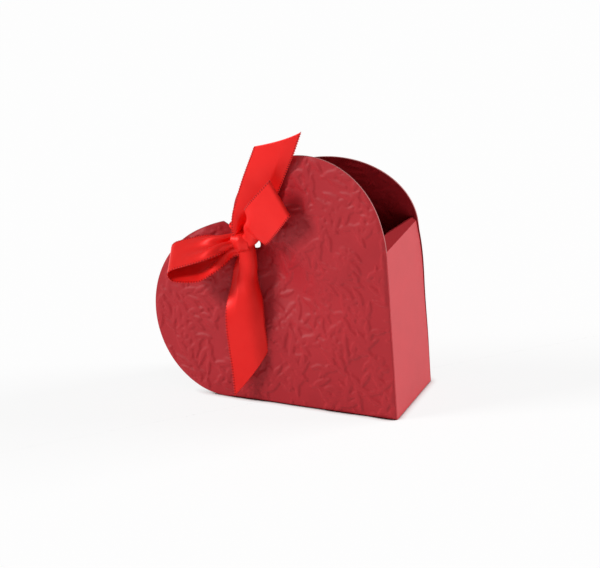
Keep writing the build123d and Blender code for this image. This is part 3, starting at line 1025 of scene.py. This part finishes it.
right_loop, right_grid, right_run = ribbon_limb(
    "right_loop_ribbon", right_of_knot, right_loop_length, right_loop_stations, rows=130, waves=3, side=-1,
    ranges=right_loop_ranges)
dress_limb(right_loop, right_grid[:-loop_root_rows], loop_root_rows, "right_loop")

# Floor and light
# A white table under a broad soft lamp from the left and another from the right. For the camera and for
# reflections the table is washed towards white. It keeps the box's shadow, and a painted shadow line
# where they meet: its colour goes dark as the box comes close.
floor_size = 40.0
floor_white = (0.94, 0.94, 0.94, 1)
floor_roughness = 0.9
floor_wash = 0.84
wash_open = (0.5, 1.0)
contact_reach = 2.0e-3
contact_shade = (0.06, 0.012, 0.012, 1)
contact_open = (0.50, 0.66)
white_light = (1, 1, 1, 1)
white_strength = 1.0
sky_strength = 0.28
lamp_aim = Vector((0, 0, 0.03))

floor_corners = [(x * floor_size / 2, y * floor_size / 2, 0) for x, y in ((-1, -1), (1, -1), (1, 1), (-1, 1))]
floor_mesh = bpy.data.meshes.new("floor")
floor_mesh.from_pydata(floor_corners, [], [(0, 1, 2, 3)])
floor = bpy.data.objects.new("floor", floor_mesh)
bpy.context.scene.collection.objects.link(floor)
floor_material, floor_tree, floor_shader = node_shader("white_table")
ray = shader_node(floor_tree, "ShaderNodeLightPath", {}).outputs
seen = worked_out(floor_tree, "MAXIMUM", ray["Is Camera Ray"], ray["Is Glossy Ray"])
seen = worked_out(floor_tree, "MAXIMUM", seen, ray["Is Transmission Ray"])
openness = shader_node(floor_tree, "ShaderNodeAmbientOcclusion", {"Distance": contact_reach}).outputs["AO"]
# Painted shadow: close to the box the table's colour turns to contact_shade
clear_of_box = rescaled(floor_tree, openness, *contact_open)
set_sockets(floor_tree, floor_shader, {
    "Base Color": mixed_colours(floor_tree, clear_of_box, contact_shade, floor_white),
    "Roughness": floor_roughness,
    "Specular IOR Level": 0.0,
})
wash = worked_out(floor_tree, "MULTIPLY", seen, rescaled(floor_tree, openness, *wash_open, most=floor_wash))
white = shader_node(floor_tree, "ShaderNodeEmission", {"Color": white_light, "Strength": white_strength})
sockets = {"Fac": wash, 1: floor_shader.outputs[0], 2: white.outputs[0]}
washed = shader_node(floor_tree, "ShaderNodeMixShader", sockets)
floor_tree.links.new(washed.outputs[0], floor_tree.nodes["Material Output"].inputs["Surface"])
floor_mesh.materials.append(floor_material)


def soft_light(name, place, size, power):
    """A square lamp that faces the box."""
    data = bpy.data.lights.new(name, "AREA")
    data.shape = "SQUARE"
    data.size = size
    data.energy = power
    lamp = bpy.data.objects.new(name, data)
    lamp.location = place
    lamp.rotation_mode = "QUATERNION"
    lamp.rotation_quaternion = (lamp_aim - Vector(place)).to_track_quat("-Z", "Y")
    bpy.context.scene.collection.objects.link(lamp)


soft_light("key_left", place=(-2.60, -1.75, 2.00), size=1.0, power=97.0)
soft_light("fill_right", place=(2.60, 1.70, 1.00), size=1.6, power=116.0)

world = bpy.data.worlds.new("studio")
bpy.context.scene.world = world
world.use_nodes = True
sky = world.node_tree.nodes["Background"]
set_sockets(world.node_tree, sky, {"Color": white_light, "Strength": sky_strength})

# Camera
# A long lens, a little to the right of the box and above it, as a product photograph is taken.
# Its place, in metres, and its turn come from the outlines of the two hearts.
camera_place = (0.40927, -1.10897, 0.53118)
camera_right = Vector((0.93712, 0.34891, -0.00851))
camera_up = Vector((-0.12902, 0.36899, 0.92043))
camera_data = bpy.data.cameras.new("camera")
camera_data.lens = 300.0
camera_data.sensor_width = 36.0
camera = bpy.data.objects.new("camera", camera_data)
bpy.context.scene.collection.objects.link(camera)
camera_turn = Matrix((camera_right, camera_up, camera_right.cross(camera_up))).transposed()
camera.matrix_world = Matrix.Translation(camera_place) @ camera_turn.to_4x4()
bpy.context.scene.camera = camera

bpy.context.scene.view_settings.view_transform = "Standard"
